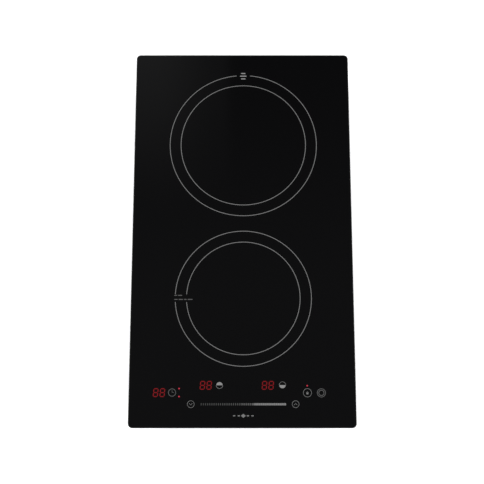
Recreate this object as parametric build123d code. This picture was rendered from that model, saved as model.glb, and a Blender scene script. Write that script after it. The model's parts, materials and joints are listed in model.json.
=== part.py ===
from build123d import *
from math import cos, radians, sin, tan
import os

# A built-in induction cooktop with two cooking zones, one behind the other.
# A black glass-ceramic top is glued to a steel carrier frame, which closes a pressed steel casing.
# The glass lies on the worktop and the casing hangs in a 270 x 490 mm cut-out.
# Origin: centre of the footprint, at the level of the casing's pressed feet.
# +X is the user's right, +Y points to the back of the cooktop and +Z is up. Millimetres.

# ---- driving dimensions ----------------------------------------------------------------------
glass_width, glass_depth = 300.0, 520.0
glass_thickness, glass_corner, glass_bevel = 4.0, 6.0, 0.8
total_height = 60.0
seal_thickness, seal_width, seal_margin = 2.0, 8.0, 4.0
casing_width, casing_depth, casing_corner = 266.0, 486.0, 10.0
sheet = 1.0
foot_height, foot_radius = 3.0, 9.0

rear_zone_y, front_zone_y = 127.0, -88.0
rear_winding_radius, front_winding_radius = 88.0, 77.0
winding_hole = 22.0
sensor_travel = 1.5
clear = 0.3  # gap between parts that move against each other

blower_x, blower_y = -62.0, -148.0
bracket_y, bracket_half_width = 150.0, 10.0
bracket_travel = 12.0
worktop_thickest = 40.0

# ---- levels worked out from them -------------------------------------------------------------
glass_bottom = total_height - glass_thickness
worktop_top = glass_bottom - seal_thickness
floor_bottom = foot_height
floor_top = floor_bottom + sheet
half_width, half_depth = casing_width / 2, casing_depth / 2
inner_half_width, inner_half_depth = half_width - sheet, half_depth - sheet
rim_top = glass_bottom - 1.0
plate_bottom = 36.0
plate_top = plate_bottom + 1.0
board_bottom = floor_top + 5.0
board_thickness = 1.6
board_top = board_bottom + board_thickness

# The cable recess is a step in the casing's rear right corner.
recess_x, recess_y, recess_top = 66.0, 196.0, 30.0
gland_x, gland_z = 98.0, 16.0
cable_radius = 4.6

# Frame that carries the glass: a ring of L section standing inside the casing's rim.
frame_gap, frame_leg_bottom, flange_width = 0.2, 40.0, 8.0

# Control unit, under the front strip of the glass.
tray_half_width, tray_front, tray_back, tray_bottom = 122.0, -233.0, -191.0, 44.0
tray_wall = 1.5
control_board_top = tray_bottom + 4.6

# Fasteners: pan heads. (shank radius, head radius, head height)
m3 = (1.45, 2.8, 1.8)
m4 = (1.95, 4.0, 2.2)
screw_level = 47.0
bracket_screw_level = 33.0


# ---- helpers ---------------------------------------------------------------------------------
def block(x, y, z):
    """A box from its lowest to its highest x, y and z."""
    middle = Pos((x[0] + x[1]) / 2, (y[0] + y[1]) / 2, (z[0] + z[1]) / 2)
    return middle * Box(x[1] - x[0], y[1] - y[0], z[1] - z[0])


def disc(x, y, z, radius):
    """A cylinder standing on (x, y), from z[0] to z[1]."""
    return Pos(x, y, (z[0] + z[1]) / 2) * Cylinder(radius, z[1] - z[0])


def ring(x, y, z, inner, outer):
    return disc(x, y, z, outer) - disc(x, y, (z[0] - 1, z[1] + 1), inner)


def slab(width, depth, corner, z):
    """A rounded rectangle centred on the origin, from z[0] to z[1]."""
    return extrude(Pos(0, 0, z[0]) * RectangleRounded(width, depth, corner), z[1] - z[0])


def slab_ring(width, depth, corner, wall, z):
    hole = slab(width - 2 * wall, depth - 2 * wall, max(corner - wall, 0.6), (z[0] - 1, z[1] + 1))
    return slab(width, depth, corner, z) - hole


def along_x(shape):
    """Turns a shape that stands along +Z so that it points along +X."""
    return Rot(0, 90, 0) * shape


def polar(radius, angle):
    return radius * cos(radians(angle)), radius * sin(radians(angle))


def pan_screw(size, length):
    """A cross-recessed pan head screw with its seat at z = 0, its head above and its shank below."""
    shank_radius, head_radius, head_height = size
    head = Pos(0, 0, head_height / 2) * Cylinder(head_radius, head_height)
    head = fillet(head.edges().group_by(Axis.Z)[-1], head_height * 0.45)
    for turn in (0, 90):
        head -= Rot(0, 0, turn) * Pos(0, 0, head_height) * Box(head_radius * 1.1, 0.7, head_height)
    return head + Pos(0, 0, -length / 2) * Cylinder(shank_radius, length)


def spring(x, y, z, coil_radius, wire_radius, turns):
    """A compression spring of round wire, standing on z[0] and reaching z[1]."""
    height = z[1] - z[0] - 2 * wire_radius
    line = Helix(pitch=height / turns, height=height, radius=coil_radius)
    wire = sweep(Plane(origin=line @ 0, z_dir=line % 0) * Circle(wire_radius), path=line)
    return Pos(x, y, z[0] + wire_radius) * wire


def cable(points, radius):
    """A round cable along straight runs joined by arcs, each as large as its two runs allow."""
    radii = []
    for before, here, after in zip(points, points[1:], points[2:]):
        run_in = Vector(*here) - Vector(*before)
        run_out = Vector(*after) - Vector(*here)
        half_turn = radians(run_in.get_angle(run_out)) / 2
        radii.append(0.45 * min(run_in.length, run_out.length) / tan(half_turn))
    line = FilletPolyline(*points, radius=radii)
    return sweep(Plane(origin=line @ 0, z_dir=line % 0) * Circle(radius), path=line)


def group(shapes):
    return Compound(children=[Compound(shape.solids()) for shape in shapes])


# ---- the glass and what holds it -------------------------------------------------------------
def glass_top():
    glass = slab(glass_width, glass_depth, glass_corner, (glass_bottom, total_height))
    glass = chamfer(glass.faces().sort_by(Axis.Z)[-1].outer_wire().edges(), glass_bevel)
    return chamfer(glass.faces().sort_by(Axis.Z)[0].outer_wire().edges(), glass_bevel * 0.6)


def worktop_seal():
    """Foam strip on the glass's underside, all round, which lies on the worktop."""
    margin = 2 * seal_margin
    levels = (worktop_top, glass_bottom)
    return slab_ring(glass_width - margin, glass_depth - margin, glass_corner, seal_width, levels)


def frame_size():
    return casing_width - 2 * (sheet + frame_gap), casing_depth - 2 * (sheet + frame_gap)


def glass_bond():
    """Silicone bead between the glass and the carrier frame's flange."""
    width, depth = frame_size()
    return slab_ring(width - 4, depth - 4, casing_corner - 3, 5.0, (rim_top, glass_bottom))


def casing_screw_places():
    """Each screw that joins the casing to the carrier frame: place, and turn about Z of its axis."""
    sides = [(side * half_width, y, 90 * (1 - side)) for side in (-1, 1) for y in range(-200, 201, 80)]
    ends = [(x, side * half_depth, 90 * side) for side in (-1, 1) for x in (-84, 84)]
    return sides + ends


def cross_holes(places, level, radius, reach):
    """Holes through walls, one at each place, along the outward direction there."""
    drill = along_x(Cylinder(radius, reach))
    return [Pos(x, y, level) * Rot(0, 0, turn) * drill for x, y, turn in places]


def tray_screw_places():
    return [(side * 126.5, y) for side in (-1, 1) for y in (-224.0, -200.0)]


def carrier_frame():
    """Steel ring of L section: a flange glued under the glass and a leg inside the casing's rim."""
    width, depth = frame_size()
    corner = casing_corner - sheet - frame_gap
    frame = slab(width, depth, corner, (frame_leg_bottom, rim_top))
    frame -= slab(width - 2 * sheet, depth - 2 * sheet, corner - sheet, (0, rim_top - sheet))
    opening = (width - 2 * flange_width, depth - 2 * flange_width, 2.0)
    frame -= slab(*opening, (rim_top - 2 * sheet, rim_top + sheet))
    frame -= cross_holes(casing_screw_places(), screw_level, m3[0] + 0.05, 8)
    frame -= [disc(x, y, (rim_top - 2, rim_top + 1), m3[0] + 0.05) for x, y in tray_screw_places()]
    return frame


# ---- the casing ------------------------------------------------------------------------------
feet = [(-112, -222), (112, -222), (-112, 0), (112, 0), (-108, 226), (48, 222), (112, 112)]
cover_x, cover_y = (71.0, 121.0), (147.0, 193.0)
cover_screws = [(76.0, 187.0), (116.0, 187.0)]
hand_hole_x, hand_hole_y = (79.0, 113.0), (151.0, 180.0)
terminal_x, terminal_y = (77.0, 115.0), (154.0, 166.0)
terminal_screws = [(73.5, 160.0), (118.5, 160.0)]
post_places = [(-125, -176), (125, -176), (-125, 22), (125, 22), (-125, 214), (125, 186)]
power_board_x, power_board_y = (-118.0, 22.0), (-86.0, 158.0)
filter_board_x, filter_board_y = (38.0, 122.0), (40.0, 146.0)


def board_hole_places():
    """The screw holes of the two lower boards, 4 mm in from their corners."""
    inset = 4.0
    corners = []
    for xs, ys in ((power_board_x, power_board_y), (filter_board_x, filter_board_y)):
        corners += [(x, y) for x in (xs[0] + inset, xs[1] - inset) for y in (ys[0] + inset, ys[1] - inset)]
    return corners


def blower_ear_places():
    return [(blower_x + x, blower_y + y) for x, y in (polar(53.4, angle) for angle in (20, 265, 325))]


def fan_grille():
    """Rings of slots under the blower's inlet, parted by three bars."""
    slots = [ring(blower_x, blower_y, (0, floor_top + 1), r - 1.7, r + 1.7) for r in (7, 13, 19, 25, 31)]
    grille = slots[0] + slots[1:]
    for turn in (0, 60, 120):
        grille -= Pos(blower_x, blower_y, 0) * Rot(0, 0, turn) * Box(80, 3.0, 20)
    return grille


def wall_vents():
    """Upright round-ended slots in the rear, front and right-hand walls."""
    slot_half, low, high = 1.5, 12.0, 32.0
    rear = [(x, half_depth, 0) for x in range(-118, 47, 7)]
    front = [(x, -half_depth, 0) for x in range(-98, 99, 7)]
    right = [(half_width, y, 90) for y in range(-110, 121, 7) if not 126 < abs(y) < 174]
    upright = SlotCenterToCenter(high - low, 2 * slot_half)
    cut = extrude(Plane.XZ * Rot(0, 0, 90) * upright, 4, both=True)
    return [Pos(x, y, (low + high) / 2) * Rot(0, 0, turn) * cut for x, y, turn in rear + front + right]


def floor_vents():
    """Two blocks of long slots in the floor, under the filter board and in front of it."""
    cut = extrude(SlotCenterToCenter(34, 3), 10, both=True)
    places = [(x, -70) for x in range(50, 111, 8)] + [(x, 84) for x in range(50, 91, 8)]
    return [Pos(x, y, floor_top) * Rot(0, 0, 90) * cut for x, y in places]


def pressed_feet():
    """Round dimples pressed down from the floor: their outer shapes, and the hollows inside."""
    depth = foot_height + sheet / 2
    top_radius = foot_radius + foot_height
    outer, inner = [], []
    for x, y in feet:
        outer.append(Pos(x, y, depth / 2) * Cone(foot_radius, top_radius, depth))
        inner.append(Pos(x, y, sheet + depth / 2) * Cone(foot_radius - sheet, top_radius - sheet / 2, depth))
    return outer, inner


def floor_beads():
    """Long shallow beads pressed down from the floor to stiffen it, and the hollows inside them."""
    depth, width = 1.2, 12.0
    outer, inner = [], []
    for x, y, length in ((-20, 0, 150), (26, 0, 150), (-75, 40, 150), (75, -140, 96), (18, 195, 60)):
        place = Pos(x, y, floor_bottom - depth) * Rot(0, 0, 90)
        bead = extrude(place * SlotOverall(length, width), depth + sheet / 2)
        outer.append(chamfer(bead.edges().group_by(Axis.Z)[0], depth * 0.8))
        hollow = SlotOverall(length - 3 * sheet, width - 3 * sheet)
        inner.append(Pos(0, 0, sheet) * extrude(place * hollow, depth + sheet))
    return outer, inner


def bracket_guides():
    """Two upright beads beside each bracket, which keep it from turning on its screw."""
    guides = []
    for side in (-1, 1):
        for y in (-bracket_y, bracket_y):
            for edge in (-1, 1):
                middle = y + edge * (bracket_half_width + clear + 1.2)
                xs = sorted((side * (half_width - sheet / 2), side * (half_width + 1.2)))
                guides.append(block(xs, (middle - 1.2, middle + 1.2), (9, 52)))
    return guides


def bottom_casing():
    """Pressed steel tray with a stepped corner for the mains cable."""
    bend = 3.0
    shell = slab(casing_width, casing_depth, casing_corner, (floor_bottom, rim_top))
    shell = fillet(shell.edges().group_by(Axis.Z)[0], bend)
    shell -= block((recess_x, 200), (recess_y, 300), (0, recess_top))
    cavity = slab(2 * inner_half_width, 2 * inner_half_depth, casing_corner - sheet, (floor_top, rim_top + 1))
    cavity = fillet(cavity.edges().group_by(Axis.Z)[0], bend - sheet)
    cavity -= block((recess_x - sheet, 200), (recess_y - sheet, 300), (0, recess_top + sheet))
    foot_shapes, foot_hollows = pressed_feet()
    bead_shapes, bead_hollows = floor_beads()
    shell += foot_shapes + bead_shapes + bracket_guides()
    shell -= cavity
    shell -= foot_hollows + bead_hollows
    shell -= fan_grille()
    shell -= wall_vents() + floor_vents()
    shell -= cross_holes(casing_screw_places(), screw_level, m3[0] + 0.15, 8)
    shell -= cross_holes(bracket_screw_places(), bracket_screw_level, m4[0] + 0.15, 8)
    shell -= Pos(gland_x, recess_y, gland_z) * Rot(90, 0, 0) * Cylinder(8.1, 8)
    shell -= block(hand_hole_x, hand_hole_y, (0, floor_top + 1))
    m3_holes = cover_screws + terminal_screws + board_hole_places() + blower_ear_places()
    shell -= [disc(x, y, (0, floor_top + 1), m3[0] + 0.05) for x, y in m3_holes]
    shell -= [disc(x, y, (0, floor_top + 1), m4[0] + 0.05) for x, y in post_places]
    return shell


def casing_screws():
    """The screws that show outside: round the rim, under the floor, and on the terminal cover."""
    rim = pan_screw(m3, 5.0)
    screws = [Pos(x, y, screw_level) * Rot(0, 0, turn) * along_x(rim) for x, y, turn in casing_screw_places()]
    upward = Rot(180, 0, 0)
    screws += [Pos(x, y, floor_bottom) * upward * pan_screw(m4, 9.0) for x, y in post_places]
    cover_level = floor_bottom - 0.8
    screws += [Pos(x, y, cover_level) * upward * pan_screw(m3, 5.0) for x, y in cover_screws]
    return group(screws)


def terminal_cover():
    """Thin steel plate under the floor, over the hand hole to the mains terminals."""
    plate = block(cover_x, cover_y, (floor_bottom - 0.8, floor_bottom))
    plate = fillet(plate.edges().filter_by(Axis.Z), 3.0)
    return plate - [disc(x, y, (0, 5), m3[0] + 0.15) for x, y in cover_screws]


# ---- clamp brackets --------------------------------------------------------------------------
def bracket_screw_places():
    return [(side * half_width, y, 90 * (1 - side)) for side in (-1, 1) for y in (-bracket_y, bracket_y)]


def bracket(side, y):
    """Steel angle: a slotted leg beside the casing, and a lip that goes under the worktop."""
    thickness = 1.5
    lip_top = worktop_top - worktop_thickest
    near = half_width + clear
    width = (-bracket_half_width, bracket_half_width)
    leg = block((near, near + thickness), width, (lip_top - thickness, 38))
    lip = block((near, near + 14), width, (lip_top - thickness, lip_top))
    body = leg + lip
    body = fillet(body.edges().filter_by(Axis.Y).sort_by(Axis.X)[-2:], 0.5)
    slot = SlotCenterToCenter(bracket_travel, 4.6)
    cut = extrude(Plane.YZ * Rot(0, 0, 90) * slot, 6, both=True)
    body -= Pos(near, 0, bracket_screw_level - bracket_travel / 2) * cut
    # The lip grips with small raised teeth.
    for x in (near + 6, near + 9, near + 12):
        body += block((x, x + 0.8), (-8, 8), (lip_top - 0.2, lip_top + 0.4))
    turned = body if side > 0 else Rot(0, 0, 180) * body
    return Pos(0, y, 0) * turned


def bracket_fasteners():
    """For each bracket: an M4 screw with its washer, and the clinch nut inside the casing wall."""
    seat = clear + 1.5 + clear
    parts = []
    for x, y, turn in bracket_screw_places():
        place = Pos(x, y, bracket_screw_level) * Rot(0, 0, turn)
        parts.append(place * Pos(seat + 0.8, 0, 0) * along_x(pan_screw(m4, 10.0)))
        parts.append(place * along_x(ring(0, 0, (seat, seat + 0.8), m4[0] + 0.15, 4.8)))
        nut = extrude(RegularPolygon(4.4, 6), 4.5) - Cylinder(m4[0] + 0.05, 12)
        parts.append(place * Pos(-sheet - 4.5, 0, 0) * along_x(nut))
    return group(parts)


# ---- the coils -------------------------------------------------------------------------------
insulation_top = glass_bottom - clear
winding_top, winding_bottom = insulation_top - 1.0, insulation_top - 5.0
former_bottom = winding_bottom - 2.0
ferrite_bottom = former_bottom - 4.0
coil_spring_top = plate_top + 9.2
spring_radius, spring_wire = 4.5, 0.5
ferrite_angles = [22.5 + 45 * i for i in range(8)]
peg_angles = (0, 90, 180, 270)


def peg_radius(winding_radius):
    return winding_radius - 16


def coil_former(y, winding_radius):
    """Moulded carrier: spokes under the winding, pockets for the ferrites, a hub and four pegs."""
    rim = winding_radius + 4
    levels = (former_bottom, winding_bottom)
    body = ring(0, 0, (former_bottom, winding_top), rim - 2, rim)
    body += ring(0, 0, levels, rim - 9, rim - 1)
    body += ring(0, 0, levels, winding_hole - 8, winding_hole + 6)
    middle = winding_hole + 0.65 * (winding_radius - winding_hole)
    body += ring(0, 0, levels, middle - 4, middle + 4)
    for angle in ferrite_angles:
        body += Rot(0, 0, angle) * block((winding_hole, rim - 4), (-8, 8), (ferrite_bottom, winding_bottom))
    for angle in peg_angles:
        body += Rot(0, 0, angle) * block((winding_hole, rim - 4), (-7, 7), levels)
    # The hub is a cup that holds the temperature sensor and its spring.
    body += ring(0, 0, (former_bottom - 5, winding_top - 0.2), sensor_radius + clear, winding_hole - 6.5)
    body += ring(0, 0, (former_bottom - 6, former_bottom - 4.9), 4.5, winding_hole - 6.5)
    body += ring(0, 0, levels, winding_hole - 7.5, winding_hole - 6)
    for angle in ferrite_angles:
        pocket = block(ferrite_span(winding_radius), (-6.1, 6.1), (0, former_bottom))
        body -= Rot(0, 0, angle) * pocket
    for angle in peg_angles:
        px, py = polar(peg_radius(winding_radius), angle)
        body += disc(px, py, (plate_bottom - 3.5, former_bottom), 3.0)
        body += disc(px, py, (coil_spring_top, former_bottom), 5.6)
        head = Pos(px, py, plate_bottom - 2.5) * Cone(2.6, 3.9, 2.0)
        body += head
        body -= Pos(px, py, plate_bottom - 3) * Box(8.5, 1.4, 7)
    return Pos(0, y, 0) * body


def ferrite_span(winding_radius):
    return winding_hole + 2, winding_radius - 2


def coil_ferrites(y, winding_radius):
    """Eight flat ferrite bars, laid like spokes in the former's pockets."""
    bar = block(ferrite_span(winding_radius), (-6, 6), (ferrite_bottom, former_bottom))
    bar = fillet(bar.edges().filter_by(Axis.Z), 1.0)
    return group([Pos(0, y, 0) * Rot(0, 0, angle) * bar for angle in ferrite_angles])


def coil_winding(y, winding_radius):
    """The flat winding as one ring, with a ridge for each turn of litz wire."""
    pitch = 4.4
    turns = int((winding_radius - winding_hole) // pitch)
    middle_level = (winding_top + winding_bottom) / 2
    section = Pos(winding_hole + turns * pitch / 2, middle_level) * Rectangle(turns * pitch, 2.6)
    for i in range(turns):
        section += Pos(winding_hole + pitch * (i + 0.5), middle_level) * Circle(2.0)
    return Pos(0, y, 0) * revolve(Plane.XZ * section, Axis.Z)


def coil_insulation(y, winding_radius):
    """Mica and fibre disc between the winding and the glass, open over the sensor."""
    return ring(0, y, (winding_top, insulation_top), sensor_radius + 1.2, winding_radius + 1)


def coil_springs(y, winding_radius):
    springs = []
    for angle in peg_angles:
        px, py = polar(peg_radius(winding_radius), angle)
        springs.append(spring(px, py + y, (plate_top, coil_spring_top), spring_radius, spring_wire, 4))
    return group(springs)


# ---- the temperature sensors -----------------------------------------------------------------
sensor_radius = 7.8
sensor_floor = former_bottom - 4.9


def sensor(y):
    """Ceramic button that presses on the glass, with a stem for the thermistor's wires."""
    cap = disc(0, y, (insulation_top - 4.7, insulation_top), sensor_radius)
    cap = fillet(cap.edges().group_by(Axis.Z)[-1], 0.8)
    return cap + disc(0, y, (sensor_floor + sensor_travel + clear, insulation_top - 4), 3.0)


def sensor_spring(y):
    levels = (sensor_floor, insulation_top - 4.7)
    return spring(0, y, levels, 5.6, 0.4, 3.5)


# ---- support plate, posts and inside screws --------------------------------------------------
def lead_hole_places():
    """Where the coil leads pass down through the support plate."""
    out = 45 * cos(radians(45))
    return [(out, rear_zone_y - out), (out, front_zone_y + out)]


def coil_support_plate():
    """Aluminium sheet that carries both coils on their springs and screens the boards below."""
    plate = block((-122, 122), (-182, 222), (plate_bottom, plate_top))
    plate = fillet(plate.edges().filter_by(Axis.Z), 6.0)
    for x, y in post_places:
        xs = sorted((x, x - 12 if x > 0 else x + 12))
        plate += block(xs, (y - 4.5, y + 4.5), (plate_bottom, plate_top))
        plate += disc(x, y, (plate_bottom, plate_top), 4.5)
    plate -= [disc(x, y, (30, 40), m4[0] + 0.15) for x, y in post_places]
    for y, winding_radius in ((rear_zone_y, rear_winding_radius), (front_zone_y, front_winding_radius)):
        for angle in peg_angles:
            px, py = polar(peg_radius(winding_radius), angle)
            plate -= disc(px, py + y, (30, 40), 3.3 + clear)
        plate -= disc(0, y, (30, 40), 7.0)
    plate -= [disc(x, y, (30, 40), 9.0) for x, y in lead_hole_places()]
    return plate


def standoffs():
    """Posts from the casing's floor to the support plate, and short ones under the boards."""
    posts = [ring(x, y, (floor_top, plate_bottom), m4[0] + 0.05, 4.0) for x, y in post_places]
    shorts = [ring(x, y, (floor_top, board_bottom), m3[0] + 0.05, 3.0) for x, y in board_hole_places()]
    return group(posts + shorts)


def internal_screws():
    """The screws inside: support plate, boards, blower, power devices and control tray."""
    screws = [Pos(x, y, plate_top) * pan_screw(m4, 9.0) for x, y in post_places]
    screws += [Pos(x, y, board_top) * pan_screw(m3, 6.4) for x, y in board_hole_places()]
    ear_screw = pan_screw(m3, blower_ear_top - 3.2)
    screws += [Pos(x, y, blower_ear_top) * ear_screw for x, y in blower_ear_places()]
    screws += [Pos(device_face, y, 27) * along_x(pan_screw(m3, 8.0)) for y in device_places]
    screws += [Pos(x, y, floor_top + 6) * pan_screw(m3, 6.8) for x, y in terminal_screws]
    hanging = Rot(180, 0, 0) * pan_screw(m3, 3.4)
    screws += [Pos(x, y, rim_top - sheet - 2.5) * hanging for x, y in tray_screw_places()]
    return group(screws)


# ---- the blower ------------------------------------------------------------------------------
blower_bottom, blower_top, blower_wall = floor_top + 0.3, 32.0, 1.5
blower_radius = 50.0
blower_ear_top = 10.0
duct_x, duct_end = (-112.0, -68.0), -88.0
hub_radius, hub_wall = 18.0, 1.3
wheel_bottom, wheel_top = 7.2, 27.0
blade_inner, blade_outer, blade_count = 34.0, 44.0, 32


def blower_outline(inset, z):
    """The scroll's footprint: a round chamber, and a straight duct towards the heat sink."""
    radius = blower_radius - inset
    chamber = disc(blower_x, blower_y, z, radius)
    return chamber + block((duct_x[0] + inset, duct_x[1] - inset), (blower_y, duct_end), z)


def blower_ears(z):
    return [disc(x, y, z, 4.0) for x, y in blower_ear_places()]


def blower_housing():
    """Scroll shell: roof and side walls, with the bearing tube standing down from the roof."""
    shell = blower_outline(0, (blower_bottom + blower_wall, blower_top))
    shell += blower_ears((blower_bottom + blower_wall, blower_ear_top))
    shell -= blower_outline(blower_wall, (0, blower_top - blower_wall))
    mouth = (duct_x[0] + blower_wall, duct_x[1] - blower_wall)
    shell -= block(mouth, (duct_end - 5, duct_end + 5), (0, blower_top - blower_wall))
    shell += ring(blower_x, blower_y, (14, blower_top - 1), 3.4, 4.6)
    return shell - [disc(x, y, (0, 40), m3[0] + 0.15) for x, y in blower_ear_places()]


def blower_cover():
    """Flat lower half of the scroll, with the round inlet over the casing's grille."""
    levels = (blower_bottom, blower_bottom + blower_wall)
    cover = blower_outline(0, levels)
    cover += blower_ears(levels)
    cover -= disc(blower_x, blower_y, (0, 10), 33.0)
    return cover - [disc(x, y, (0, 40), m3[0] + 0.15) for x, y in blower_ear_places()]


def blower_impeller():
    """Wheel with forward-curved blades between a top plate and a bottom ring, round a cup hub."""
    wheel = ring(0, 0, (wheel_top - 1.2, wheel_top), hub_radius - hub_wall, blade_outer)
    wheel += ring(0, 0, (9.0, wheel_top), hub_radius - hub_wall, hub_radius)
    wheel += ring(0, 0, (9.0, 10.5), 1.5, hub_radius)
    wheel += ring(0, 0, (10, 12.5), 1.5, 4.0)
    wheel += ring(0, 0, (wheel_bottom, wheel_bottom + 1.2), blade_outer - 3, blade_outer)
    curve = ThreePointArc((blade_inner, 0), (blade_inner + 5.6, -1.2), (blade_outer - 0.6, -5.0))
    blade = extrude(Pos(0, 0, wheel_bottom) * trace(curve, 1.0), wheel_top - 0.5 - wheel_bottom)
    wheel += [Rot(0, 0, 360 * i / blade_count) * blade for i in range(blade_count)]
    return Pos(blower_x, blower_y, 0) * wheel


def blower_magnet():
    return ring(blower_x, blower_y, (12, 26), hub_radius - hub_wall - 1.6, hub_radius - hub_wall)


def blower_shaft():
    shaft = disc(blower_x, blower_y, (9.0, 29.5), 1.5)
    return chamfer(shaft.edges(), 0.2)


def blower_bearing():
    return ring(blower_x, blower_y, (15, 29), 1.53, 3.4)


def blower_stator():
    """Laminated nine-tooth stator on the bearing tube, with its winding round each tooth."""
    body = ring(0, 0, (15.5, 24.5), 4.6, 7.0)
    for i in range(9):
        tooth = block((6.5, 13.2), (-0.8, 0.8), (17, 23)) + block((7.6, 12), (-1.7, 1.7), (16, 24))
        shoe = block((12.6, 14.3), (-3.2, 3.2), (17, 23))
        body += Rot(0, 0, 40 * i) * (tooth + shoe)
    return Pos(blower_x, blower_y, 0) * body


# ---- the power electronics -------------------------------------------------------------------
sink_x, sink_y, sink_z = (-112.0, -58.0), (-78.0, 118.0), (board_top, 33.0)
sink_base, fin_count, fin_thickness = 4.0, 6, 1.4
device_face = sink_x[1] + 5.0
device_places = (-62.0, -32.0, 14.0, 62.0, 92.0)
bridge_place = 14.0


def board(xs, ys, z, holes):
    plate = block(xs, ys, z)
    plate = fillet(plate.edges().filter_by(Axis.Z), 1.5)
    return plate - [disc(x, y, (z[0] - 1, z[1] + 1), m3[0] + 0.15) for x, y in holes]


def power_board():
    return board(power_board_x, power_board_y, (board_bottom, board_top), board_hole_places()[:4])


def filter_board():
    return board(filter_board_x, filter_board_y, (board_bottom, board_top), board_hole_places()[4:])


def heat_sink():
    """Extruded aluminium comb: level fins in the blower's air, and an upright wall for the devices."""
    sink = block((sink_x[1] - sink_base, sink_x[1]), sink_y, sink_z)
    pitch = (sink_z[1] - sink_z[0] - fin_thickness) / (fin_count - 1)
    for i in range(fin_count):
        low = sink_z[0] + i * pitch
        sink += block((sink_x[0], sink_x[1] - sink_base + 0.5), sink_y, (low, low + fin_thickness))
    drill = along_x(Cylinder(m3[0] + 0.05, 12))
    return sink - [Pos(sink_x[1], y, 27) * drill for y in device_places]


def power_transistors():
    """Four transistors and a wider bridge rectifier, screwed to the heat sink's wall."""
    devices = []
    for y in device_places:
        half, legs = (15.0, 4) if y == bridge_place else (8.0, 3)
        body = block((sink_x[1], device_face), (y - half, y + half), (14, 33))
        body = chamfer(body.edges().group_by(Axis.X)[-1], 0.6)
        body -= Pos(device_face, y, 27) * along_x(Cylinder(m3[0] + 0.15, 12))
        for i in range(legs):
            middle = y + (i - (legs - 1) / 2) * 5.4
            body += block((sink_x[1] + 2, sink_x[1] + 2.8), (middle - 0.7, middle + 0.7), (board_top, 14.5))
        devices.append(body)
    return group(devices)


def standing_box(place, size, edge=1.0):
    """A box-shaped component standing on a board, centred on its place."""
    (x, y), (dx, dy, dz) = place, size
    body = block((x - dx / 2, x + dx / 2), (y - dy / 2, y + dy / 2), (board_top, board_top + dz))
    return fillet(body.edges().filter_by(Axis.Z) + body.edges().group_by(Axis.Z)[-1], edge)


def film_capacitors():
    """Box capacitors: the coils' resonant ones, the supply's, and two on the filter board."""
    resonant = [(-29, -68), (-29, -50), (-29, 108), (-29, 126)]
    supply = [(-29, -20), (-29, 48)]
    mains = [(98, 56), (98, 74)]
    return group(
        [standing_box(p, (30, 14, 20)) for p in resonant]
        + [standing_box(p, (32, 18, 21)) for p in supply]
        + [standing_box(p, (32, 13, 19)) for p in mains]
    )


def electrolytic_capacitors():
    """Round cans on the power board, each with a groove near its foot."""
    cans = []
    sizes = [(-30, 14, 8.0, 20), (-12, 80, 5.0, 14), (1, 80, 5.0, 14), (-30, 80, 6.3, 16)]
    for x, y, radius, height in sizes:
        can = disc(x, y, (board_top, board_top + height), radius)
        can = fillet(can.edges().group_by(Axis.Z)[-1], 0.8)
        cans.append(can - ring(x, y, (board_top + 2.5, board_top + 3.5), radius - 0.5, radius + 2))
    return group(cans)


def toroid(x, y, outer, height):
    """A wound ring core lying on the board, with a ridge for each turn of wire."""
    section = Pos(outer * 0.74, board_top + height / 2) * RectangleRounded(outer * 0.5, height, 2.0)
    core = revolve(Plane.XZ * section, Axis.Z)
    turns = int(outer * 1.4)
    notch = block((outer * 0.93, outer * 1.2), (-0.45, 0.45), (board_top - 1, board_top + height + 1))
    core -= [Rot(0, 0, 360 * i / turns) * notch for i in range(turns)]
    return Pos(x, y, 0) * core


def inductors():
    """Two chokes and a small transformer on the power board, and the mains choke."""
    core = standing_box((3, 122), (22, 18, 6), 0.6)
    core += standing_box((3, 122), (14, 18, 17), 0.6)
    core += block((-5.5, 11.5), (115.5, 128.5), (board_top + 3, board_top + 14))
    return group([toroid(3, -18, 13.0, 13), toroid(3, 44, 13.0, 13), toroid(62, 66, 17.0, 16), core])


lead_terminals = [(14.0, 84.0), (14.0, 98.0), (14.0, -58.0), (14.0, -44.0)]
ribbon_socket, blower_socket = (8.0, -78.0), (-10.0, -38.0)
sensor_sockets = [(-9.0, 146.0), (-3.0, -66.0)]
mains_socket = (100.6, 124.0)


def board_connectors():
    """Plug sockets, and a screw post for each coil lead."""
    sockets = [(ribbon_socket, (12, 8, 7)), (blower_socket, (8, 7, 7)), ((14, 66), (10, 16, 9))]
    sockets += [(sensor_sockets[0], (8, 7, 7)), (sensor_sockets[1], (8, 7, 7))]
    sockets += [((44, 96), (8, 16, 9)), (mains_socket, (18, 8, 9))]
    made = [standing_box(p, size, 0.5) for p, size in sockets]
    for x, y in lead_terminals:
        post = extrude(Pos(x, y, board_top) * RegularPolygon(4.2, 6), 5)
        made.append(post)
    return group(made)


def mains_fuse():
    """Ceramic fuse in two spring clips, and the round varistor beside it."""
    tube = Pos(112, 100, board_top + 5) * Rot(90, 0, 0) * Cylinder(3.0, 30)
    clips = [block((108, 116), (y - 2.5, y + 2.5), (board_top, board_top + 3)) for y in (88, 112)]
    fuse = tube + clips
    varistor = Pos(84, 108, board_top + 9) * Rot(0, 90, 0) * Cylinder(8.0, 4.0)
    varistor = fillet(varistor.edges(), 1.2)
    relay = standing_box((62, 124), (30, 14, 16), 0.8)
    return group([fuse, varistor, relay])


# ---- the mains connection --------------------------------------------------------------------
pole_pitch = 7.4
wire_level = floor_top + 9.0


def pole_x(i):
    return terminal_x[0] + 4.2 + pole_pitch * i


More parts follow.
